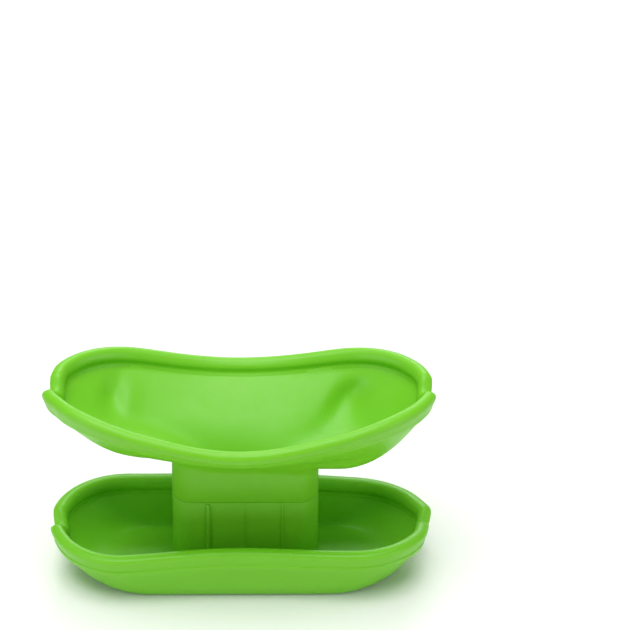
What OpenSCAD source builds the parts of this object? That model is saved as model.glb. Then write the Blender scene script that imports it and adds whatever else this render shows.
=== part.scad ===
// Soft earphone case, in millimetres. +X runs along the pod, +Z is up, and the
// origin is at the middle of the underside, on which the pod stands.
// Two silicone half shells are joined back to back at a hollow core. The lower half
// keeps its moulded bowl shape. The upper half is turned inside out, so that its rim
// points up and a cable can be wound round the core between the halves.

/* [Pod] */
// Length of the pod over its lips
pod_length = 101; // [90:1:120]
// Width of the pod over its lips
pod_width = 41.5; // [38:0.5:50]
// Height of the lower half, from the floor to the edge of its lip
half_height = 15.6; // [14:0.1:20]
// Thickness of the silicone
wall = 1.8; // [1.2:0.1:2.2]
// Length of the flat floor
floor_length = 70; // [62:1:78]
// Width of the flat floor
floor_width = 27.5; // [22:0.5:30]

/* [Lip] */
// Thickness of the bead that edges each half
bead_thickness = 3.4; // [2.8:0.1:4]
// Height of the bead
bead_height = 4; // [3.2:0.1:4.6]
// Height of the thinner band between the wall and the bead
band_height = 1.3; // [0.8:0.1:1.8]
// How far the band stands out from the wall on each face
band_step = 0.35; // [0.2:0.05:0.5]
// Radius of the rounds along the bead's edge
edge_round = 1.4; // [0.8:0.1:1.6]
// Height of the hollow under the bead, on the lip's inner face
cove_height = 2; // [1:0.1:3]
// How deep each lip waves away from the other at the ends, for the cable to leave
mouth_depth = 3.3; // [1:0.1:4]
// Half the width of that wave
mouth_reach = 4.8; // [4:0.1:7]
// How far the upper lip swings out in front of its mouth and in behind it, at -X
upper_pass_left = 0.8; // [-1:0.1:1.2]
// The same at +X
upper_pass_right = 0.3; // [-1:0.1:1.2]
// How far the lower lip does so at -X
lower_pass_left = 0.1; // [-1:0.1:1.2]
// The same at +X
lower_pass_right = -0.5; // [-1:0.1:1.2]

/* [Lower half] */
// How far the middle of each long side is drawn in
waist_depth = 1.5; // [0:0.1:3]
// How far the middle of each long side rises
waist_rise = 0.8; // [0:0.1:2]
// Slope of the lip at the middle of each long side, in degrees from level
lower_side_slope = 84; // [76:1:88]
// Slope of the lip at the ends
lower_end_slope = 72; // [66:1:84]
// How much less steep the wall is than the lip there
lower_recess = 12; // [0:1:20]
// How far the front of the rim rises at +X and falls at -X
sway_front = 1.1; // [0:0.1:2]
// How far the rear of the rim falls at +X
sway_rear = 2.4; // [0:0.1:3]

/* [Core] */
// Length of the core over its round ends
core_length = 38; // [32:0.5:44]
// Thickness of the core
core_width = 10.5; // [10:0.1:12]
// How far the core stands from the middle of the pod, towards +X
core_shift = 1.1; // [0:0.1:2]
// Thickness of the core's walls beside its slots
core_wall = 2.8; // [1.8:0.1:3]
// How much thicker they are at the core's round ends
slot_inset = 5; // [0:0.5:6]
// Height at which the two halves are joined
parting_height = 22.6; // [20:0.1:26]
// Height at which the upper shell leaves the middle of the core
crown_height = 31.1; // [29:0.1:34]
// How much higher it leaves the core's ends
crown_bow = 4.2; // [0:0.1:5]
// How much more than that at -X, and less at +X
crown_tilt = 2; // [0:0.1:3]
// Radius of the curve by which the upper shell leaves the core
root_radius = 3.4; // [1.6:0.1:4]
// Radius of the fillet between the core and the lower floor
fillet = 1.6; // [1:0.1:2]
// Radius that rounds the mouth of the lower slot
slot_round = 1.4; // [0.8:0.1:1.6]
// Width of the fine moulding lines down the faces of the lower core
line_width = 0.5; // [0.3:0.1:0.8]
// How far those lines stand out
line_depth = 0.25; // [0.1:0.05:0.4]
// Distance between the moulding lines
line_pitch = 9.6; // [7:0.1:11]

/* [Upper half, turned inside out] */
// Height of its rim over the crown, at the ends
rim_rise = 25.5; // [22:0.1:28]
// How far the rim drops at the middle of each long side
saddle_drop = 7.7; // [4:0.1:9]
// How far the rim spreads there
saddle_spread = 4.5; // [1:0.1:6]
// Slope of the lip at the ends, in degrees from level
end_slope = 70; // [60:1:80]
// Slope of the lip at the middle of each long side
side_slope = 45; // [40:1:60]
// How far each end of the rim is drawn out to a point, as a share of its radius
pointed = 0.3; // [0:0.05:0.4]
// How much less steep the wall is than the lip at the ends
upper_recess = 12; // [0:1:25]
// How far the front of the rim hangs below its rear at the ends
sag = 0.9; // [0:0.1:2]
// How far the rim hangs down at +X and stands up at -X, as the soft shell settles
settle = 0.4; // [0:0.1:2]
// How far the shell lifts where it leaves the core at the ends
root_lift = 1.5; // [0:0.1:3]
// How much more than that at -X, and less at +X
root_tilt = 2.4; // [0:0.1:3]
// How far the belly of each end hangs down
belly_drop = 3.6; // [0:0.1:4]
// How much more than that at +X, and less at -X
belly_tilt = 0.9; // [0:0.1:2]
// Running gap between the wall and the lip that travels
flip_gap = 0.15; // [0.1:0.05:0.3]

/* [Hidden] */

silicone = "#79c530";
$fn = 72;
// Hairline between a true round and the facets that seat against it
seat = 0.06;
// Slope at which the crown hands over to the upper wall
crown_slope = 60;
// How far the crown reaches down the core, and how low it hands over in the slot
crown_depth = 1.5;
mouth_foot = 0.8;
// Slope at which the upper wall leaves the core, at the ends and at the sides, and the
// slope of its inner face where it runs down into the ends of the slot
end_leaving = 6;
side_leaving = 52;
mouth_leaving = 38;
// Shares of half the pod's length over which the saddle and the waist run out
saddle_reach = 0.9;
waist_reach = 0.7;
// How much further than a mouth the lip's swing reaches, and what makes its peak 1
swing_reach = 2;
swing_peak = 3.5;

// Shares of its reach and rise over which each wall keeps its first and last slope
lower_start = 0.5;
lower_finish = 0.37;
upper_start = 0.35;
upper_finish = 0.9;

lip_height = bead_height + band_height;
pod_straight = (pod_length - pod_width) / 2;
floor_straight = (floor_length - floor_width) / 2;
floor_radius = floor_width / 2;
core_straight = (core_length - core_width) / 2;
core_radius = core_width / 2;
slot_straight = core_straight - slot_inset;
slot_radius = core_radius - core_wall;
lip_radius = (pod_width - bead_thickness) / 2;

// Steps round each quarter of an end, along each side and up a wall
turn_steps = 14;
side_steps = 12;
wall_steps = 8;
bead_steps = 3;
bend_steps = 3;
// Steps round each fillet of the core
round_steps = 6;
// How far a cutter runs past the faces that it opens
past = 1;
// Crowds the stations towards the ends, where the lip waves
crowding = 1.25;

// Stations round the pod, from the +X end by the rear: share of the straight, direction
turn = [for (i = [0:turn_steps]) 90 * pow(i / turn_steps, crowding)];
stations = concat(
    [for (i = [0:turn_steps]) [1, turn[i]]],
    [for (i = [1:side_steps - 1]) [1 - 2 * i / side_steps, 90]],
    [for (i = [0:turn_steps]) [-1, 180 - turn[turn_steps - i]]],
    [for (i = [1:turn_steps]) [-1, 180 + turn[i]]],
    [for (i = [1:side_steps - 1]) [2 * i / side_steps - 1, 270]],
    [for (i = [0:turn_steps - 1]) [1, 360 - turn[turn_steps - i]]]);

// The core stands off the middle of the pod, and the skins near it lean with it
function lean(straight) = let (
        t = min(max((floor_straight - straight) / (floor_straight - core_straight), 0), 1))
    core_shift * t * t * (3 - 2 * t);

// A point of the plan at a station, on an obround of this straight and radius
function plan(s, straight, radius) =
    [s[0] * straight + radius * cos(s[1]) + lean(straight), radius * sin(s[1])];

// A smooth bump, 1 at zero and 0 from reach on
function bump(x, reach) = abs(x) < reach ? 0.5 + 0.5 * cos(180 * x / reach) : 0;

// How far a lip dips at a station, near the ends only
function mouth_dip(s) =
    abs(s[0]) < 1 ? 0 : mouth_depth * bump((pod_width / 2) * sin(s[1]), mouth_reach);

// How far a lip swings out on the front of its mouth and in on the rear, to pass itself
function passing(s, left, right) = let (
        u = pod_width / 2 * sin(s[1]) / (swing_reach * mouth_reach))
    abs(s[0]) < 1 || abs(u) > 1 ? 0
        : -swing_peak * (s[0] > 0 ? right : left) * u * pow(1 - u * u, 2);

// How much of the side's middle a station has
function middle(s, share) = bump(plan(s, pod_straight, lip_radius)[0], share * pod_length / 2);

// Where a station is along the pod, from -1 to 1, and across it, from 0 at the rear to 1
function lengthwise(s) = plan(s, pod_straight, lip_radius)[0] / (pod_length / 2);
function frontness(s) = (1 - sin(s[1])) / 2;

// A wall's path at a station is a cubic of [straight, radius, height]. Its outer or lower
// face follows the path, and its other face lies one wall away along the normal. The wall's
// end is cut square to the slope of its lip.
function cubic(c, t) = pow(1 - t, 3) * c[0] + 3 * t * pow(1 - t, 2) * c[1]
    + 3 * t * t * (1 - t) * c[2] + pow(t, 3) * c[3];
function tangent(c, t) = pow(1 - t, 2) * (c[1] - c[0]) + 2 * t * (1 - t) * (c[2] - c[1])
    + t * t * (c[3] - c[2]);
function normal(s, c, t) = let (
        d = tangent(c, t),
        across = d[1] + d[0] * s[0] * cos(s[1]))
    [0, -d[2], across] / norm([across, d[2]]);
function outer_face(c, first) = [for (i = [first:wall_steps]) cubic(c, i / wall_steps)];
function inner_face(s, c, first, slope) = concat(
    [c[3] - wall * across(slope)],
    [for (i = [wall_steps - 1:-1:first])
        let (t = i / wall_steps) cubic(c, t) + wall * normal(s, c, t)]);

// Points of a path placed in space
function placed(s, points) = [for (p = points) [each plan(s, p[0], p[1]), p[2]]];

// Unit steps along and across a slope, in degrees from level
function along(slope) = [0, cos(slope), sin(slope)];
function across(slope) = [0, sin(slope), -cos(slope)];

// The outline of a lip: x across, outwards, and y along it from the wall to the edge
bead_round = min(edge_round, 0.45 * bead_thickness);
function lip_outline(start) = let (
        band = wall / 2 + band_step,
        side = bead_thickness / 2,
        top = lip_height - bead_round,
        arc = [for (i = [0:bead_steps]) let (turned = 90 * i / bead_steps)
            bead_round * [cos(turned), sin(turned)]])
    concat(
        [[band, start], [band, band_height], [side, band_height + band_step]],
        [for (p = arc) [side - bead_round + p[0], top + p[1]]],
        [for (i = [bead_steps:-1:0]) [bead_round - side - arc[i][0], top + arc[i][1]]],
        [[-side, cove_height], [-wall / 2, start]]);

// That outline turned to its slope, with the middle of its foot at a point of a path
function lip_at(foot, slope, start) =
    [for (p = lip_outline(start)) foot + p[0] * across(slope) + p[1] * along(slope)];

// The lower lip and the wall under it, which leaves the floor level and turns upright
function lower_slope(s) =
    lower_end_slope + (lower_side_slope - lower_end_slope) * middle(s, saddle_reach);
function lower_sway(s) = (1 - middle(s, waist_reach)) * (
    sway_front * frontness(s) * lengthwise(s)
    - sway_rear * (1 - frontness(s)) * (1 + lengthwise(s)) / 2);
function lower_edge(s) = [
    pod_straight,
    lip_radius - waist_depth * middle(s, waist_reach)
        + passing(s, lower_pass_left, lower_pass_right),
    half_height + waist_rise * middle(s, waist_reach) + lower_sway(s)];
function lower_foot(s) = lower_edge(s) - (lip_height + mouth_dip(s)) * along(lower_slope(s));
function lower_curve(s) = let (
        start = [floor_straight, floor_radius + seat, 0],
        end = lower_foot(s) + wall / 2 * across(lower_slope(s)),
        level = [end[0] - start[0], end[1] - start[1], 0],
        slope = lower_slope(s) - lower_recess * (1 - middle(s, saddle_reach)))
    [start, start + lower_start * level,
     end - (lower_finish * lower_edge(s)[2] - mouth_dip(s)) * along(slope), end];

// The upper lip, whose edge is a saddle: low and spread at the middle of each side. Each
// of its ends is half an ellipse and not a half circle.
function upper_slope(s) = end_slope - (end_slope - side_slope) * middle(s, saddle_reach);
function upper_sink(s) =
    (1 - middle(s, saddle_reach)) * (sag * frontness(s) + settle * lengthwise(s));
function lobe_radius(s) = let (
        back = pointed * lip_radius,
        long = (1 + pointed) * lip_radius,
        over = max(0, back - (1 - abs(s[0])) * pod_straight),
        p = pow(cos(s[1]) / long, 2) + pow(sin(s[1]) / lip_radius, 2),
        q = over * abs(cos(s[1])) / pow(long, 2))
    (sqrt(q * q + p * (1 - pow(over / long, 2))) - q) / p;
function upper_edge(s) = [
    pod_straight,
    lobe_radius(s) + saddle_spread * middle(s, saddle_reach)
        + passing(s, upper_pass_left, upper_pass_right),
    crown_height + rim_rise - saddle_drop * middle(s, saddle_reach) - upper_sink(s)];
function upper_foot(s) = upper_edge(s) - (lip_height + mouth_dip(s)) * along(upper_slope(s));

// How high the shell leaves the core at a station, over an obround of this straight and radius
function crown_level(s, straight, radius) = let (
        u = (s[0] * straight + radius * cos(s[1])) / (core_length / 2))
    crown_height + crown_bow * pow(u, 2) - crown_tilt * pow(u, 3);

// A point of the curve by which the upper shell leaves the core, turned by an angle
function root_point(s, turned, radius) = [core_straight,
    core_radius + root_radius - radius * cos(turned),
    crown_level(s, core_straight, core_radius) + radius * sin(turned)];

// The upper wall bends over from the crown, more at the ends than at the sides,
// and then runs out to the foot of the lip
function leaving(s) = end_leaving + (side_leaving - end_leaving) * middle(s, saddle_reach);
function bend(s) = [for (i = [0:bend_steps])
    root_point(s, 90 - crown_slope + (crown_slope - leaving(s)) * i / bend_steps, root_radius)];
function upper_curve(s) = let (
        start = root_point(s, 90 - leaving(s), root_radius),
        end = upper_foot(s) + wall / 2 * across(upper_slope(s)),
        reach = norm(plan(s, end[0], end[1]) - plan(s, start[0], start[1])),
        ends = 1 - middle(s, saddle_reach),
        slope = upper_slope(s) - upper_recess * ends,
        rise = upper_finish * (end[2] - start[2]) - (1 - upper_finish) * mouth_dip(s),
        lift = [0, 0, ends * (root_lift - root_tilt * lengthwise(s))],
        drop = [0, 0, ends * ends * (belly_drop + belly_tilt * lengthwise(s))])
    [start, start + upper_start * reach * along(leaving(s)) + lift,
     end - rise * along(slope) - drop, end];

// The round at the mouth of the upper slot, from the wall's inner face down into the slot,
// and the point below it where the crown hands over
function slot_mouth(s) = let (
        slope = mouth_leaving + (side_leaving - mouth_leaving) * middle(s, saddle_reach),
        x = slot_radius + slot_round,
        rise = root_radius + wall - slot_round + sin(slope) * (x - core_radius - root_radius),
        y = crown_level(s, slot_straight, slot_radius) + rise / cos(slope))
    [for (i = [0:round_steps])
        let (turned = 90 + slope + (90 - slope) * i / round_steps)
        [slot_straight, x + slot_round * cos(turned), y + slot_round * sin(turned)]];
function slot_foot(s) =
    [slot_straight, slot_radius, crown_level(s, slot_straight, slot_radius) - mouth_foot];

// Skins a loop of equal closed outlines. Its quads are halved one way or the other, so that
// two skins that meet can share the facets between them.
module loop_skin(rings, other_way = false) {
    n = len(rings);
    m = len(rings[0]);
    polyhedron(
        points = [for (ring = rings) each ring],
        faces = [for (i = [0:n - 1], j = [0:m - 1])
            let (k = (i + 1) % n, l = (j + 1) % m,
                 a = i * m + j, b = k * m + j, c = k * m + l, d = i * m + l)
            each other_way ? [[a, d, b], [d, c, b]] : [[a, d, c], [a, c, b]]],
        convexity = 8);
}

// Carries an outline round an obround: x is the distance from its centreline, y the height
module along_obround(straight) {
    for (side = [-1, 1])
        translate([side * straight, 0, 0])
            rotate([0, 0, -90 * side])
                rotate_extrude(angle = 180)
                    children();
    translate([-straight, 0, 0])
        rotate([90, 0, 90])
            linear_extrude(2 * straight) {
                children();
                mirror([1, 0]) children();
            }
}

// A quarter round in the corner at a point, from its level side to its upright side
function quarter(x, y, radius) = [for (i = [0:round_steps])
    let (turned = 90 * i / round_steps)
    [x + radius * (1 - sin(turned)), y + radius * (1 - cos(turned))]];

// An upright prism on an obround of this straight and radius
module obround(straight, radius, height) {
    linear_extrude(height)
        hull()
            for (side = [-1, 1])
                translate([side * straight, 0])
                    circle(radius);
}

// The flat floor, with the rounded mouth of the lower slot
module lower_floor() {
    color(silicone)
        difference() {
            along_obround(floor_straight)
                square([floor_radius, wall]);
            translate([core_shift, 0, 0])
                along_obround(slot_straight)
                    polygon(concat(
                        [[0, -past], [slot_radius + slot_round, -past]],
                        quarter(slot_radius, 0, slot_round),
                        [[slot_radius, wall + past], [0, wall + past]]));
        }
}

module lower_wall() {
    color(silicone)
        loop_skin([for (s = stations)
            placed(s, concat(
                outer_face(lower_curve(s), 0),
                inner_face(s, lower_curve(s), 0, lower_slope(s))))]);
}

module lower_lip() {
    color(silicone)
        loop_skin(
            [for (s = stations) placed(s, lip_at(lower_foot(s), lower_slope(s), 0))],
            other_way = true);
}

// The lower part of the core: a hollow stem, closed at the top by a web
module lower_core() {
    color(silicone)
        translate([core_shift, 0, 0]) {
            difference() {
                along_obround(core_straight)
                    polygon(concat(
                        [[0, wall]],
                        quarter(core_radius, wall, fillet),
                        [[core_radius, parting_height], [0, parting_height]]));
                translate([0, 0, wall - past])
                    obround(slot_straight, slot_radius, parting_height - 2 * wall + past);
            }
            for (place = [-1, 0, 1], face = [-1, 1])
                translate([place * line_pitch - line_width / 2,
                           face > 0 ? core_radius - line_depth : -core_radius - line_depth,
                           wall + fillet])
                    cube([line_width, 2 * line_depth, parting_height - wall - fillet]);
        }
}

// The upper part of the core, with the web that closes the upper slot
module upper_core() {
    stem_height = crown_height - crown_depth - parting_height;
    color(silicone)
        translate([core_shift, 0, parting_height])
            difference() {
                obround(core_straight, core_radius, stem_height);
                translate([0, 0, wall])
                    obround(slot_straight, slot_radius, stem_height);
            }
}

// The flared mouth of the upper slot, which stays put when the shell is turned
module upper_crown() {
    foot = crown_height - crown_depth;
    color(silicone)
        loop_skin([for (s = stations)
            placed(s, concat(
                [[slot_straight, slot_radius, foot], [core_straight, core_radius, foot]],
                [for (i = [0:bend_steps])
                    root_point(s, (90 - crown_slope) * i / bend_steps, root_radius)],
                [slot_foot(s)]))], other_way = true);
}

module upper_wall() {
    color(silicone)
        loop_skin([for (s = stations)
            placed(s, concat(
                bend(s),
                outer_face(upper_curve(s), 1),
                inner_face(s, upper_curve(s), 0, upper_slope(s)),
                slot_mouth(s),
                [slot_foot(s)]))]);
}

module upper_lip() {
    color(silicone)
        loop_skin([for (s = stations) placed(s, lip_at(upper_foot(s), upper_slope(s), flip_gap))]);
}

lower_floor();
lower_wall();
lower_lip();
lower_core();
upper_core();
upper_crown();
upper_wall();
upper_lip();
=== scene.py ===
# %% [markdown]
# # A soft earphone case, turned half inside out
# The object is a silicone pod, about 10 cm long. Two bowls are joined back to back at a
# hollow core. The lower bowl keeps its moulded shape, and the upper one is turned inside
# out, so that its rim waves up at both ends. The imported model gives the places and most
# sizes, and this file makes the soft skins that are seen. It works in millimetres and
# changes to metres when a point is laid down.

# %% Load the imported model
import math

import bpy
from mathutils import Matrix, Vector


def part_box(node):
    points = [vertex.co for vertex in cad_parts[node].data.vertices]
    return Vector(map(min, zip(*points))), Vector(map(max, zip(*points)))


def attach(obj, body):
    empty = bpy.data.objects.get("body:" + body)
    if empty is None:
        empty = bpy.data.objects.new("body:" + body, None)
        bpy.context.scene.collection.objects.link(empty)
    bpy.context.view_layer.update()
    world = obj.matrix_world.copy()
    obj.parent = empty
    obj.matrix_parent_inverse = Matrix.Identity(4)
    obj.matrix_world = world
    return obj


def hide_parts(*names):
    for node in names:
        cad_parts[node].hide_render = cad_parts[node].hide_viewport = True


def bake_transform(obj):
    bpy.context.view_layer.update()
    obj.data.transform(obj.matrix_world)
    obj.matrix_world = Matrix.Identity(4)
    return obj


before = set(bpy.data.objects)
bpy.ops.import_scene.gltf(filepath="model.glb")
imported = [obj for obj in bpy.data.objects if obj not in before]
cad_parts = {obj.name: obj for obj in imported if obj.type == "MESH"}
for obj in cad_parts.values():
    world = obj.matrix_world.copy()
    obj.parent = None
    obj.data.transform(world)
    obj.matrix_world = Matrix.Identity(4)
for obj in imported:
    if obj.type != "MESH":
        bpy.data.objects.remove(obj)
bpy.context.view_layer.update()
MM = 0.001
for name in sorted(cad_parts):
    low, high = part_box(name)
    print(name, [round((b - a) / MM, 1) for a, b in zip(low, high)], "mm")

# %% [markdown]
# ## The camera
# A product photograph is taken from a distance with a long lens, which keeps the far rim
# nearly as large as the near one. The view was fitted to the photograph's outline: about
# 31 degrees above level, with the object to the left of the frame and below its middle. So
# the camera isn't aimed at the object: it stands a little to the right and above.

# %% Camera
SENSOR = 36
FOCAL_PIXELS, PICTURE_PIXELS = 2605, 630
ELEVATION, AZIMUTH, ROLL = 30.8, -1.3, 0.6
# From a point in the middle of the case: to the right, up and back, as the camera sees them
case_middle, offset = (0, 0, 28), (19.17, 41.2, 675)
turn = (
    Matrix.Rotation(math.radians(AZIMUTH), 4, "Z")
    @ Matrix.Rotation(math.radians(90 - ELEVATION), 4, "X")
    @ Matrix.Rotation(math.radians(ROLL), 4, "Z")
)
eye = Vector(case_middle) * MM + turn @ (Vector(offset) * MM)
bpy.ops.object.camera_add(location=eye)
camera = bpy.context.object
camera.matrix_world = Matrix.Translation(eye) @ turn
camera.data.lens = FOCAL_PIXELS / PICTURE_PIXELS * SENSOR
camera.data.sensor_width = SENSOR
camera.data.clip_start = 0.01
bpy.context.scene.camera = camera
bpy.context.scene.view_settings.view_transform = "Standard"
print("camera at", [round(v, 3) for v in eye], "lens", round(camera.data.lens, 1))

# %% [markdown]
# ## The studio
# The photograph has a white ground and soft light from above, which fills the upper bowl
# and leaves the core in shade. A wide lamp hangs overhead. One behind lights the top of the
# rims, two small ones stand left and right in front, and the world gives a dim even light.
# The floor is white paper. Where the camera looks past it, the world is white, but it
# lights the object at its dim level.

# %% Colours are written as on screen
def linear(code):
    """An sRGB hex colour as the linear values, with alpha, that Blender's sockets take."""
    parts = [int(code[i : i + 2], 16) / 255 for i in (1, 3, 5)]
    values = [c / 12.92 if c <= 0.04045 else ((c + 0.055) / 1.055) ** 2.4 for c in parts]
    return (*values, 1.0)


def add(tree, kind, settings=(), links=()):
    """Adds one node, sets its sockets or properties by name, and links its inputs."""
    node = tree.nodes.new(kind)
    for key, value in dict(settings).items():
        if key in node.inputs:
            node.inputs[key].default_value = value
        else:
            setattr(node, key, value)
    for key, source in dict(links).items():
        tree.links.new(source, node.inputs[key])
    return node


def empty_tree(owner):
    """Clears the nodes of a material or world and returns its tree."""
    owner.use_nodes = True
    owner.node_tree.nodes.clear()
    return owner.node_tree


print("white in linear values:", linear("#FFFFFF"))

# %% Floor of white paper, which a camera below it sees through
paper = bpy.data.materials.new("white_paper")
tree = empty_tree(paper)
diffuse = add(tree, "ShaderNodeBsdfDiffuse", {"Color": linear("#FAFAF8")})
clear = add(tree, "ShaderNodeBsdfTransparent")
geometry = add(tree, "ShaderNodeNewGeometry")
mix = add(tree, "ShaderNodeMixShader", links={0: geometry.outputs["Backfacing"]})
tree.links.new(diffuse.outputs[0], mix.inputs[1])
tree.links.new(clear.outputs[0], mix.inputs[2])
add(tree, "ShaderNodeOutputMaterial", links={"Surface": mix.outputs[0]})

bpy.ops.object.select_all(action="DESELECT")
bpy.ops.mesh.primitive_plane_add(size=4)
floor = bpy.context.object
floor.name = "floor"
floor.data.materials.append(paper)
print("floor", list(floor.dimensions))

# %% World, white to the camera and dim to the object
world = bpy.data.worlds.new("studio")
bpy.context.scene.world = world
tree = empty_tree(world)
path = add(tree, "ShaderNodeLightPath")
strength = add(
    tree,
    "ShaderNodeMapRange",
    {"To Min": 0.24, "To Max": 1.0},
    {"Value": path.outputs["Is Camera Ray"]},
)
light = add(
    tree, "ShaderNodeBackground", {"Color": linear("#FFFFFF")}, {"Strength": strength.outputs[0]}
)
add(tree, "ShaderNodeOutputWorld", links={"Surface": light.outputs[0]})
print(world.name, len(tree.nodes), "nodes")

# %% Lamps
def softbox(name, place, size, power):
    """A square lamp that faces the middle of the case, as a softbox on a stand does."""
    place, target = Vector(place), Vector((0, 0, 0.03))
    bpy.ops.object.light_add(type="AREA", location=place)
    lamp = bpy.context.object
    lamp.name = name
    lamp.rotation_euler = (target - place).to_track_quat("-Z", "Y").to_euler()
    lamp.data.size = size
    lamp.data.energy = power
    print(name, power, "W")
    return lamp


softbox("key", (-0.08, -0.1, 0.9), 0.8, 8.2)
softbox("back", (0.1, 0.9, 0.6), 0.6, 4.0)
softbox("left", (-0.8, -0.5, 0.25), 0.4, 1.5)
softbox("right", (0.8, -0.5, 0.25), 0.4, 1.5)

# %% [markdown]
# ## The rubber
# The case is moulded silicone rubber in one apple green. Silicone is a little translucent
# and comes from the mould with a fine satin skin: its highlights are broad and soft, with
# no sharp mirror image. The colour hardly changes, so the material mixes two close greens
# in large soft patches, varies the roughness every few millimetres, where fingers have
# polished the skin, and adds a very fine grain, the print of the mould.

# %% Silicone
def silicone(name, roughness):
    """Moulded silicone rubber, whose skin is as rough as given, on average."""
    material = bpy.data.materials.new(name)
    tree = empty_tree(material)
    place = add(tree, "ShaderNodeTexCoord").outputs["Object"]
    patches = add(tree, "ShaderNodeTexNoise", {"Scale": 70.0, "Detail": 2.0}, {"Vector": place})
    green = add(
        tree, "ShaderNodeMix", {"data_type": "RGBA"}, {"Factor": patches.outputs["Fac"]}
    )
    green.inputs[6].default_value = linear("#70C31E")
    green.inputs[7].default_value = linear("#78C828")
    wear = add(tree, "ShaderNodeTexNoise", {"Scale": 350.0, "Detail": 3.0}, {"Vector": place})
    polish = add(
        tree,
        "ShaderNodeMapRange",
        {"From Min": 0.3, "From Max": 0.7, "To Min": roughness - 0.05, "To Max": roughness + 0.05},
        {"Value": wear.outputs["Fac"]},
    )
    grain = add(tree, "ShaderNodeTexNoise", {"Scale": 2200.0, "Detail": 2.0}, {"Vector": place})
    relief = add(
        tree,
        "ShaderNodeBump",
        {"Strength": 0.25, "Distance": 0.00004},
        {"Height": grain.outputs["Fac"]},
    )
    skin = add(
        tree,
        "ShaderNodeBsdfPrincipled",
        {"IOR": 1.41, "Specular IOR Level": 0.5},
        {
            "Base Color": green.outputs[2],
            "Roughness": polish.outputs[0],
            "Normal": relief.outputs[0],
        },
    )
    add(tree, "ShaderNodeOutputMaterial", links={"Surface": skin.outputs[0]})
    print(name, len(tree.nodes), "nodes")
    return material


satin = silicone("silicone_satin", 0.38)

# %% [markdown]
# ## Sizes
# Lengths are in millimetres and slopes in degrees, and heights are above the table. The
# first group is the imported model's. The second group is this file's own: the soft upper
# skin follows the photograph more closely than the solid does, and both lips are rounder.

# %% Sizes of the case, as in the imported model
pod_length, pod_width, half_height, wall = 101, 41.5, 15.6, 1.8
floor_length, floor_width = 70, 27.5
core_length, core_width, parting_height, crown_height = 38, 10.5, 22.6, 31.1
core_shift, core_wall, slot_inset = 1.1, 2.8, 5
root_radius, fillet, slot_round, crown_depth = 3.4, 1.6, 1.4, 1.5
bead_thickness, bead_height, band_height = 3.4, 4, 1.3
mouth_depth, mouth_reach = 3.3, 4.8
mouth_pass = {"upper": (0.8, 0.3), "lower": (0.1, -0.5)}
waist_depth, waist_rise = 1.5, 0.8
sway_front, sway_rear = 1.1, 2.4
lower_side_slope, lower_end_slope, lower_recess = 84, 72, 12
rim_rise, saddle_drop, saddle_spread, end_slope, side_slope = 25.5, 7.7, 4.5, 70, 45
sag, settle, pointed = 0.9, 0.4, 0.3
lip_height = bead_height + band_height
pod_straight = (pod_length - pod_width) / 2
floor_straight, floor_radius = (floor_length - floor_width) / 2, floor_width / 2
core_straight, core_radius = (core_length - core_width) / 2, core_width / 2
slot_straight, slot_radius = core_straight - slot_inset, core_radius - core_wall
lip_radius = (pod_width - bead_thickness) / 2
stem_start, crown_start = wall + fillet, crown_height - crown_depth
print("lip", lip_height, "mm high; upper rim", crown_height + rim_rise, "mm above the table")

# %% Sizes of the soft skins
# The crown's bow and tilt, and how steeply the wall leaves it
crown_bow, crown_tilt, crown_power, crown_round = 0.85, 1.9, 2.3, 2.6
end_leaving, side_leaving, mouth_leaving, end_share = 1, 52, 34, 3.6
# How the wall's path is pulled near its root and at its belly
root_lift, root_tilt, belly_drop, belly_tilt = 3.0, 0.3, 2.6, 2.2
upper_recess = 17
# Shares of its reach and rise over which each wall keeps its first and last slope, and of
# the mouth's dip that the upper wall feels
lower_start, lower_finish = 0.5, 0.37
upper_start, upper_finish, dip_share = 0.4, 0.96, 0.1
# Shares of half the pod's length over which the saddle and the waist run out
saddle_reach, waist_reach = 0.9, 0.7
# How much further than a mouth the lip's swing reaches, and what makes its peak 1
swing_reach, swing_peak = 2, 3.5
# Each dent: its middle's x and height, half its width, a quarter of its height, lean, depth
dents = ((-33.5, 45, 2.6, 3.4, 0, 2.2), (28, 43, 4.2, 3.6, 0.5, 3.0))
# A dent fades out from this distance towards the middle of the case
dent_fade = 8
print(len(dents), "dents, up to", max(dent[-1] for dent in dents), "mm deep")

# %% Small details, and how finely the skins are divided
# How far each wall reaches up into its lip, and the rounds at the parting line and the web
lower_tuck, upper_tuck = 1.0, 2.6
joint_round, web_round = 0.25, 0.6
# Each moulding line: x from the core's middle, width, how far it stands out
moulding_lines = ((-9.6, 1.0, 0.6), (0, 0.35, 0.12), (9.6, 0.65, 0.32))
line_gap = 0.3
# The stations crowd together at the mouths
TURN_STEPS, SIDE_STEPS, CROWDING = 26, 32, 1.25
LOWER_STEPS, UPPER_STEPS, BEND_STEPS, FLOOR_STEPS = 24, 30, 10, 5
SMOOTH_ANGLE = math.radians(38)
print(len(moulding_lines), "moulding lines on each face of the core")

# %% [markdown]
# ## The plan, and how a skin is swept round it
# Seen from above the pod is an obround: two half circles joined by straight sides. A
# station is a place round it, given by the share of the straight side and the direction of
# the half circle. At each station a path goes up the wall. All paths have as many points,
# so the skin between them is a regular net of quads, and the stations are closer together
# at the ends, where the lip waves.

# %% Stations round the pod
def stations():
    """Anticlockwise from the +X end: (share of the straight, direction in degrees)."""
    turned = [90 * (i / TURN_STEPS) ** CROWDING for i in range(TURN_STEPS + 1)]
    sides = [1 - 2 * i / SIDE_STEPS for i in range(1, SIDE_STEPS)]
    return (
        [(1, a) for a in turned]
        + [(x, 90) for x in sides]
        + [(-1, 180 - a) for a in reversed(turned)]
        + [(-1, 180 + a) for a in turned[1:]]
        + [(-x, 270) for x in sides]
        + [(1, 360 - a) for a in reversed(turned[1:])]
    )


print(len(stations()), "stations")

# %% The plan at a station
def sine(degrees):
    return math.sin(math.radians(degrees))


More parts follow.
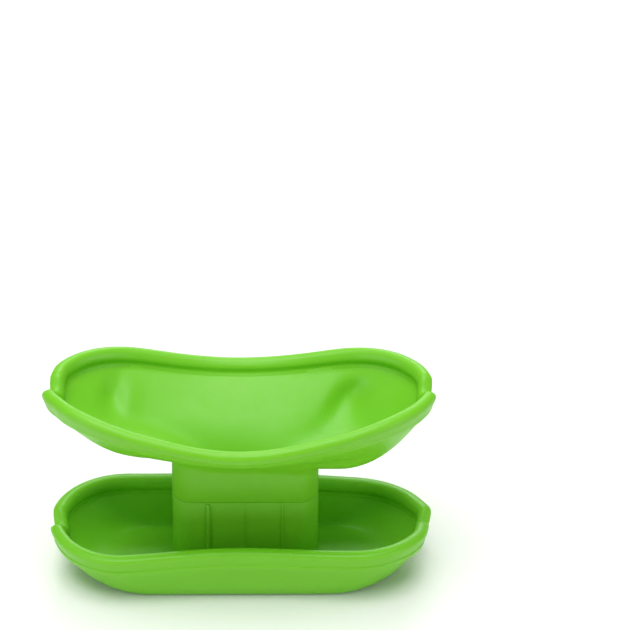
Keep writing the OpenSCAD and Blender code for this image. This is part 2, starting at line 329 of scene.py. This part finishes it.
def cosine(degrees):
    return math.cos(math.radians(degrees))


def lean(straight):
    """The core stands a little to +X of the middle, and the skins near it lean with it."""
    t = min(max((floor_straight - straight) / (floor_straight - core_straight), 0), 1)
    return core_shift * t * t * (3 - 2 * t)


def plan(s, straight, radius):
    """A point of the plan at a station, on an obround of this straight and radius."""
    return s[0] * straight + radius * cosine(s[1]) + lean(straight), radius * sine(s[1])


print("+X end of the core's plan:", plan((1, 0), core_straight, core_radius))

# %% Where a station lies, and where the lips wave
def bump(x, reach):
    """A smooth bump, 1 at zero and 0 from reach on."""
    return 0.5 + 0.5 * math.cos(math.pi * x / reach) if abs(x) < reach else 0.0


def middle(s, share):
    """How much of the side's middle a station has."""
    return bump(plan(s, pod_straight, lip_radius)[0], share * pod_length / 2)


def across_share(s):
    """From 0 at the rear of the pod to 1 at the front."""
    return (1 - sine(s[1])) / 2


def lengthwise(s):
    """From -1 at one end of the pod to 1 at the other."""
    return plan(s, pod_straight, lip_radius)[0] / (pod_length / 2)


def mouth_dip(s):
    """How far a lip dips at a station, near the ends only."""
    return mouth_depth * bump(pod_width / 2 * sine(s[1]), mouth_reach) if abs(s[0]) == 1 else 0.0


def passing(s, half):
    """How far a lip swings out on one side of its mouth and in on the other, to pass itself."""
    u = pod_width / 2 * sine(s[1]) / (swing_reach * mouth_reach)
    if abs(s[0]) < 1 or abs(u) > 1:
        return 0.0
    return -swing_peak * mouth_pass[half][s[0] > 0] * u * (1 - u * u) ** 2


print("the lip dips", mouth_dip((1, 0)), "mm at the ends")

# %% Steps along a slope and across it
# Each point of a path is (straight, radius, height)
def step(p, q, distance=1.0):
    return tuple(a + distance * b for a, b in zip(p, q))


def along(slope):
    return 0, cosine(slope), sine(slope)


def across(slope):
    return 0, sine(slope), -cosine(slope)


def between(p, q, count):
    """Points on the straight way from one point to another, without the ends."""
    return [tuple(a + (b - a) * i / count for a, b in zip(p, q)) for i in range(1, count)]


def arc(straight, x, y, radius, start, end, count=6):
    """An arc about a centre, from one direction to another, in degrees."""
    turns = [start + (end - start) * i / count for i in range(count + 1)]
    return [(straight, x + radius * cosine(a), y + radius * sine(a)) for a in turns]


print("one step up a lip:", along(end_slope))

# %% Both faces of a wall
def cubic(c, t):
    """A point of a cubic curve with four control points."""
    shares = (1 - t) ** 3, 3 * t * (1 - t) ** 2, 3 * t * t * (1 - t), t**3
    return tuple(sum(w * p[i] for w, p in zip(shares, c)) for i in range(3))


def normal(s, c, t):
    """The direction across the wall, on its inner side, at a place of its path."""
    shares = -((1 - t) ** 2), (1 - t) * (1 - 3 * t), t * (2 - 3 * t), t * t
    d = [sum(w * p[i] for w, p in zip(shares, c)) for i in range(3)]
    level = d[1] + d[0] * s[0] * cosine(s[1])
    length = math.hypot(level, d[2])
    return 0, -d[2] / length, level / length


def faces(s, curve, count, slope):
    """A wall's outer face from start to end and its inner face back, cut square to its lip."""
    shares = [i / count for i in range(count + 1)]
    outer = [cubic(curve, t) for t in shares]
    inner = [step(cubic(curve, t), normal(s, curve, t), wall) for t in reversed(shares[:-1])]
    return outer, [step(curve[3], across(slope), -wall)] + inner


def place(s, points):
    """Points of a path laid down in space, in metres."""
    return [(*(v * MM for v in plan(s, p[0], p[1])), p[2] * MM) for p in points]


print("the +X end of the floor:", place((1, 0), [(floor_straight, floor_radius, 0)]))

# %% [markdown]
# ## Skinning
# A circle is added, with one vertex for each station. It is extruded once for each further
# point of the path, and then each ring of vertices is laid where its path says. A ring
# joined to the first one closes a wall that has two faces, and a piece whose path stops in
# the open gets a flat cap at each end.

# %% A skin over rings of points
def skin(name, rings, joined):
    """A closed piece over rings of points; its last ring joins the first, or both get caps."""
    size = len(rings[0])
    bpy.ops.object.select_all(action="DESELECT")
    bpy.ops.mesh.primitive_circle_add(vertices=size, fill_type="NOTHING")
    piece = bpy.context.object
    piece.name = piece.data.name = name
    bpy.ops.object.mode_set(mode="EDIT")
    bpy.ops.mesh.select_all(action="SELECT")
    for _ in rings[1:]:
        bpy.ops.mesh.extrude_edges_move()
    bpy.ops.object.mode_set(mode="OBJECT")
    piece.data.vertices.foreach_set("co", [v for ring in rings for p in ring for v in p])
    last = (len(rings) - 1) * size
    ends = [range(size), range(last, last + size)]
    for chosen in [ends] if joined else [[ends[0]], [ends[1]]]:
        close_ends(piece, chosen, joined)
    bpy.ops.mesh.select_all(action="SELECT")
    bpy.ops.mesh.normals_make_consistent(inside=False)
    bpy.ops.object.mode_set(mode="OBJECT")
    bpy.ops.object.shade_smooth_by_angle(angle=SMOOTH_ANGLE)
    print(name, len(piece.data.polygons), "faces")
    return piece


def close_ends(piece, chosen, joined):
    """Bridges two end rings, or caps one, and leaves the piece in edit mode."""
    bpy.ops.object.mode_set(mode="EDIT")
    bpy.ops.mesh.select_mode(type="EDGE")
    bpy.ops.mesh.select_all(action="DESELECT")
    bpy.ops.object.mode_set(mode="OBJECT")
    for edge in piece.data.edges:
        edge.select = any(all(v in end for v in edge.vertices) for end in chosen)
    bpy.ops.object.mode_set(mode="EDIT")
    if joined:
        bpy.ops.mesh.bridge_edge_loops()
    else:
        bpy.ops.mesh.edge_face_add()


def finish(piece, material, body, *nodes):
    """Gives a piece its rubber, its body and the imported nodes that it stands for."""
    piece.data.materials.append(material)
    if body:
        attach(piece, body)
    if nodes:
        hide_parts(*nodes)
    return piece


# %% [markdown]
# ## The lower bowl
# The floor is flat and its underside has the rounded mouth of a slot. The wall leaves the
# floor level, turns up in one curve and ends under the lip. A fillet on top of the floor
# leads up into the core.

# %% The path of the lower wall
def lower_slope(s):
    return lower_end_slope + (lower_side_slope - lower_end_slope) * middle(s, saddle_reach)


def lower_sway(s):
    """The soft rim stands a little higher or lower near its ends."""
    x, front = lengthwise(s), across_share(s)
    sway = sway_front * front * x - sway_rear * (1 - front) * (1 + x) / 2
    return sway * (1 - middle(s, waist_reach))


def lower_edge(s):
    """The middle of the lip's top."""
    lift = middle(s, waist_reach)
    radius = lip_radius - waist_depth * lift + passing(s, "lower")
    return pod_straight, radius, half_height + waist_rise * lift + lower_sway(s)


def lower_foot(s):
    """Where the lip stands on the wall."""
    return step(lower_edge(s), along(lower_slope(s)), -(lip_height + mouth_dip(s)))


def lower_curve(s):
    start = floor_straight, floor_radius, 0
    end = step(lower_foot(s), across(lower_slope(s)), wall / 2)
    level = end[0] - start[0], end[1] - start[1], 0
    rise = lower_finish * lower_edge(s)[2] - mouth_dip(s)
    slope = lower_slope(s) - lower_recess * (1 - middle(s, saddle_reach))
    return start, step(start, level, lower_start), step(end, along(slope), -rise), end


print("lower lip at the +X end:", lower_edge((1, 0)))

# %% Lower bowl
def lower_path(s):
    """From the slot's foot under the floor, up the outer face, and down the inner one."""
    mouth = arc(slot_straight, slot_radius + slot_round, slot_round, slot_round, 180, 270)
    outer, inner = faces(s, lower_curve(s), LOWER_STEPS, lower_slope(s))
    root = arc(core_straight, core_radius + fillet, wall + fillet, fillet, 270, 180)
    tucked = [step(p, along(lower_slope(s)), lower_tuck) for p in (outer[-1], inner[0])]
    return (
        [(slot_straight, slot_radius, stem_start)]
        + mouth
        + between(mouth[-1], outer[0], FLOOR_STEPS)
        + outer
        + tucked
        + inner
        + between(inner[-1], root[0], FLOOR_STEPS)
        + root
    )


rings = [place(s, lower_path(s)) for s in stations()]
lower_bowl = skin("lower_bowl", list(zip(*rings)), joined=True)
finish(lower_bowl, satin, "base", "lower_floor", "lower_wall")

# %% [markdown]
# ## The lips
# Both lips have one moulded outline: a thin band, and above it a bead that is thicker and
# rounded along its edge. The corners of the outline are softened, because a mould has no
# sharp inner corner, and a soft edge catches the light in a line. The outline is turned to
# the slope of its wall at each station.

# %% The outline of a lip
def soften(corners, count=4):
    """Rounds the corners (x, y, radius) of a closed outline with short curves."""
    points = []
    for i, (x, y, radius) in enumerate(corners):
        ends = []
        for other in (corners[i - 1], corners[(i + 1) % len(corners)]):
            way = Vector((other[0] - x, other[1] - y))
            ends.append(Vector((x, y)) + way.normalized() * min(radius, 0.48 * way.length))
        for j in range(count + 1):
            t = j / count
            p = ends[0] * (1 - t) ** 2 + Vector((x, y)) * 2 * t * (1 - t) + ends[1] * t * t
            points.append((p.x, p.y))
    return points


def lip_outline(ledge, edge):
    """A lip's outline, whose band stands proud by a ledge and whose outer edge is rounded."""
    side, inside = bead_thickness / 2, -wall / 2 - 0.02
    return soften(
        [
            (side, 0, 0.12),
            (side, band_height, 0.12),
            (side - ledge, band_height + ledge, 0.12),
            (side - 0.1, lip_height - 0.1, edge),
            (-side, lip_height, 1.6),
            (-side - 0.4, 2.2, 1.9),
            (inside, 1.1, 0.5),
            (inside, -0.2, 0.05),
        ]
    )


def lip_points(foot, slope, outline):
    """An outline, turned to its slope, with the middle of its foot at a point of a path."""
    return [step(step(foot, across(slope), x), along(slope), y) for x, y in outline]


lower_outline, upper_outline = lip_outline(0.3, 1.3), lip_outline(0.06, 2.2)
print(len(lower_outline), "points round a lip")

# %% Lower lip
rings = [place(s, lip_points(lower_foot(s), lower_slope(s), lower_outline)) for s in stations()]
lower_bead = skin("lower_bead", rings, joined=True)
finish(lower_bead, satin, "base", "lower_lip")

# %% [markdown]
# ## The core
# The stem is a flat tube with round ends. A web closes it where the two mouldings are
# joined, and each of them has a small rounded edge there, so the joint shows as a fine line.

# %% Both halves of the stem
def stem(name, foot, way):
    """A tube from its foot to the parting line, closed by a web; way is 1 up and -1 down."""
    web = parting_height - way * wall
    turns = (0, 30, 60, 90)
    inner_round = [
        (
            slot_straight,
            slot_radius - web_round * (1 - sine(a)),
            web - way * web_round * (1 - cosine(a)),
        )
        for a in turns
    ]
    outer_round = [
        (
            core_straight,
            core_radius - joint_round * (1 - cosine(a)),
            parting_height - way * joint_round * (1 - sine(a)),
        )
        for a in turns
    ]
    feet = [(slot_straight, slot_radius, foot), (core_straight, core_radius, foot)]
    rings = [place(s, inner_round + feet + outer_round) for s in stations()]
    return skin(name, list(zip(*rings)), joined=False)


finish(stem("lower_stem", stem_start, 1), satin, "base", "lower_core")
finish(stem("upper_stem", crown_start, -1), satin, "base", "upper_core")

# %% [markdown]
# ## The upper bowl
# This is the lower bowl turned inside out, so its floor is now the crown round the slot,
# and its wall bends over and runs out and up. The path leaves the core in a tight curve,
# runs out level at the ends and steeper at the sides, and turns up to the slope of the lip.

# %% The rim of the upper bowl
def upper_slope(s):
    return end_slope - (end_slope - side_slope) * middle(s, saddle_reach)


def upper_sink(s):
    """The near side sags, and one end settles more than the other."""
    return (1 - middle(s, saddle_reach)) * (sag * across_share(s) + settle * lengthwise(s))


def lobe_radius(s):
    """The rim's radius at a station, where each end is half an ellipse and not a half circle."""
    back, long = pointed * lip_radius, (1 + pointed) * lip_radius
    over = max(0, back - (1 - abs(s[0])) * pod_straight)
    p = (cosine(s[1]) / long) ** 2 + (sine(s[1]) / lip_radius) ** 2
    q = over * abs(cosine(s[1])) / long**2
    return (math.sqrt(q * q + p * (1 - (over / long) ** 2)) - q) / p


def upper_edge(s):
    """The middle of the lip's top, a saddle along the pod."""
    share = middle(s, saddle_reach)
    height = crown_height + rim_rise - saddle_drop * share - upper_sink(s)
    radius = lobe_radius(s) + saddle_spread * share + passing(s, "upper")
    return pod_straight, radius, height


def upper_foot(s):
    """Where the lip stands on the wall."""
    return step(upper_edge(s), along(upper_slope(s)), -(lip_height + mouth_dip(s)))


print("upper lip at the +X end:", upper_edge((1, 0)))

# %% The path of the upper wall
def crown_level(s, straight, radius):
    """How high the shell leaves the core, over an obround of this straight and radius."""
    u = (s[0] * straight + radius * cosine(s[1])) / (core_length / 2)
    return crown_height + (crown_bow - math.copysign(crown_tilt, u)) * abs(u) ** crown_power


def root_point(s, turned, radius):
    """A point of the round between the core and the shell, from the core upwards."""
    x = core_radius + root_radius - radius * cosine(turned)
    y = crown_level(s, core_straight, core_radius)
    return core_straight, x, y + radius * sine(turned)


def sideways(s):
    """From 0 at the ends of the core to 1 along its sides."""
    return abs(sine(s[1])) ** end_share


def leaving(s):
    """The slope at which the wall leaves the core."""
    return end_leaving + (side_leaving - end_leaving) * sideways(s)


def upper_curve(s):
    start = root_point(s, 90 - leaving(s), root_radius)
    end = step(upper_foot(s), across(upper_slope(s)), wall / 2)
    reach = math.dist(plan(s, start[0], start[1]), plan(s, end[0], end[1]))
    rise = upper_finish * (end[2] - start[2]) - dip_share * mouth_dip(s)
    slope = upper_slope(s) - upper_recess * (1 - middle(s, saddle_reach))
    low = step(start, along(leaving(s)), upper_start * reach)
    high = step(end, along(slope), -rise)
    x, share = lengthwise(s), 1 - middle(s, saddle_reach)
    low = step(low, (0, 0, sideways(s) * share * (root_lift - root_tilt * x)))
    high = step(high, (0, 0, -share**2 * (belly_drop + belly_tilt * x)))
    return start, low, high, end


def slot_mouth(s):
    """The round at the mouth of the upper slot, from the inner face down into the slot."""
    turned = mouth_leaving + (side_leaving - mouth_leaving) * middle(s, saddle_reach)
    x = slot_radius + crown_round
    y = root_radius + wall - crown_round + sine(turned) * (x - core_radius - root_radius)
    y = crown_level(s, slot_straight, slot_radius) + y / cosine(turned)
    return arc(slot_straight, x, y, crown_round, 90 + turned, 180)


print("the shell leaves the core's +X end", crown_level((1, 0), core_straight, core_radius), "up")

# %% Upper bowl
def upper_faces(s):
    """From the core out to the lip, and from the lip back down into the slot."""
    outer, inner = faces(s, upper_curve(s), UPPER_STEPS, upper_slope(s))
    bends = [(90 - leaving(s)) * i / BEND_STEPS for i in range(BEND_STEPS)]
    tucked = [step(p, along(upper_slope(s)), upper_tuck) for p in (outer[-1], inner[0])]
    root = [root_point(s, b, root_radius) for b in bends]
    return (
        [(core_straight, core_radius, crown_start)] + root + outer + tucked,
        inner + slot_mouth(s) + [(slot_straight, slot_radius, crown_start)],
    )


rings = []
for s in stations():
    outside, inside = upper_faces(s)
    rings.append(place(s, outside + inside))
upper_bowl = skin("upper_bowl", list(zip(*rings)), joined=True)

# %% [markdown]
# ## The soft inner face
# The inner face is one stretched skin, with no edge round the slot. Its rings are smoothed:
# fully in the middle, and less and less towards the lip and the slot's mouth, so that it
# still meets both. Then the rear wall gets the two shallow dents of the photograph, where
# the rubber gives way as it is turned. A dent pushes both faces of the wall to the rear.

# %% Smooth the inner face
# Rings over which the smoothing grows and fades, and rings at the end that it leaves
FADE_IN, FADE_OUT, KEPT_RINGS = 6, 9, 3
around, first, last = len(rings), len(outside), len(outside + inside) - KEPT_RINGS
soft = upper_bowl.vertex_groups.new(name="soft")
for ring in range(first, last):
    weight = min(1.0, (ring - first) / FADE_IN, (last - ring) / FADE_OUT)
    soft.add(range(ring * around, (ring + 1) * around), weight, "REPLACE")
smooth = upper_bowl.modifiers.new("smooth", "SMOOTH")
smooth.factor, smooth.iterations, smooth.vertex_group = 0.5, 400, "soft"
bpy.context.view_layer.objects.active = upper_bowl
bpy.ops.object.modifier_apply(modifier="smooth")
print(last - first, "rings made smooth")

# %% Dents in the rear wall
def dent_push(x, z, at, level, wide, tall, turn, depth):
    """How far a dent pushes the wall at a place; beside it the wall bulges a little."""
    u, v = (x - at - turn * (z - level)) / wide, (z - level) / tall
    return depth * (1 - 0.5 * u * u) * math.exp(-u * u / 2) * bump(v, 2)


for vertex in upper_bowl.data.vertices:
    x, y, z = (v / MM for v in vertex.co)
    if y > 0:
        push = sum(dent_push(x, z, *dent) for dent in dents)
        vertex.co.y += push * MM * min(1, y / dent_fade)
finish(upper_bowl, satin, None, "upper_crown", "upper_wall")
print(upper_bowl.name, "has", len(dents), "dents")

# %% [markdown]
# ## The upper lip
# The lip is in two halves, which meet at the middle of each long side. At rest they look like one.

# %% Upper lip
def half_lip(name, sign):
    """The upper lip from the middle of one side round an end; sign is 1 at +X and -1 at -X."""
    every = stations()
    start = every.index((0.0, 270 if sign > 0 else 90))
    chosen = [every[(start + i) % len(every)] for i in range(len(every) // 2 + 1)]
    rings = [place(s, lip_points(upper_foot(s), upper_slope(s), upper_outline)) for s in chosen]
    return finish(skin(name, rings, joined=False), satin, None)


right_bead = half_lip("upper_bead_right", 1)
left_bead = half_lip("upper_bead_left", -1)
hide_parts("upper_lip")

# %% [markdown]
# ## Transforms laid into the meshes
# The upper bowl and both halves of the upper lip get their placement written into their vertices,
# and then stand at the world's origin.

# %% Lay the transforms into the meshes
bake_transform(upper_bowl)
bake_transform(right_bead)
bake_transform(left_bead)

# %% [markdown]
# ## Moulding lines
# Three low ridges run down each broad face of the lower stem, where the parts of the mould
# meet. They differ in width, as in the photograph.

# %% Ridges down the lower stem
def ridge(name, x, sign, width, proud):
    """A bar with soft edges, half sunk in a face of the stem; sign is -1 at the front."""
    height = parting_height - stem_start - line_gap
    middle_height = stem_start + height / 2
    bpy.ops.object.select_all(action="DESELECT")
    bpy.ops.mesh.primitive_cube_add(size=1)
    bar = bpy.context.object
    bar.name = bar.data.name = name
    bar.scale = (width * MM, 2 * proud * MM, height * MM)
    bar.location = ((core_shift + x) * MM, sign * core_radius * MM, middle_height * MM)
    bpy.ops.object.transform_apply(location=True, rotation=True, scale=True)
    bevel = bar.modifiers.new("soft_edges", "BEVEL")
    bevel.width = 0.45 * min(width, 2 * proud) * MM
    bevel.segments = 3
    bpy.ops.object.modifier_apply(modifier=bevel.name)
    bpy.ops.object.shade_smooth_by_angle(angle=SMOOTH_ANGLE)
    print(name, width, "mm wide")
    return finish(bar, satin, "base")


for number, (x, width, proud) in enumerate(moulding_lines, 1):
    for face, sign in (("front", -1), ("rear", 1)):
        ridge(f"moulding_line_{face}_{number}", x, sign, width, proud)
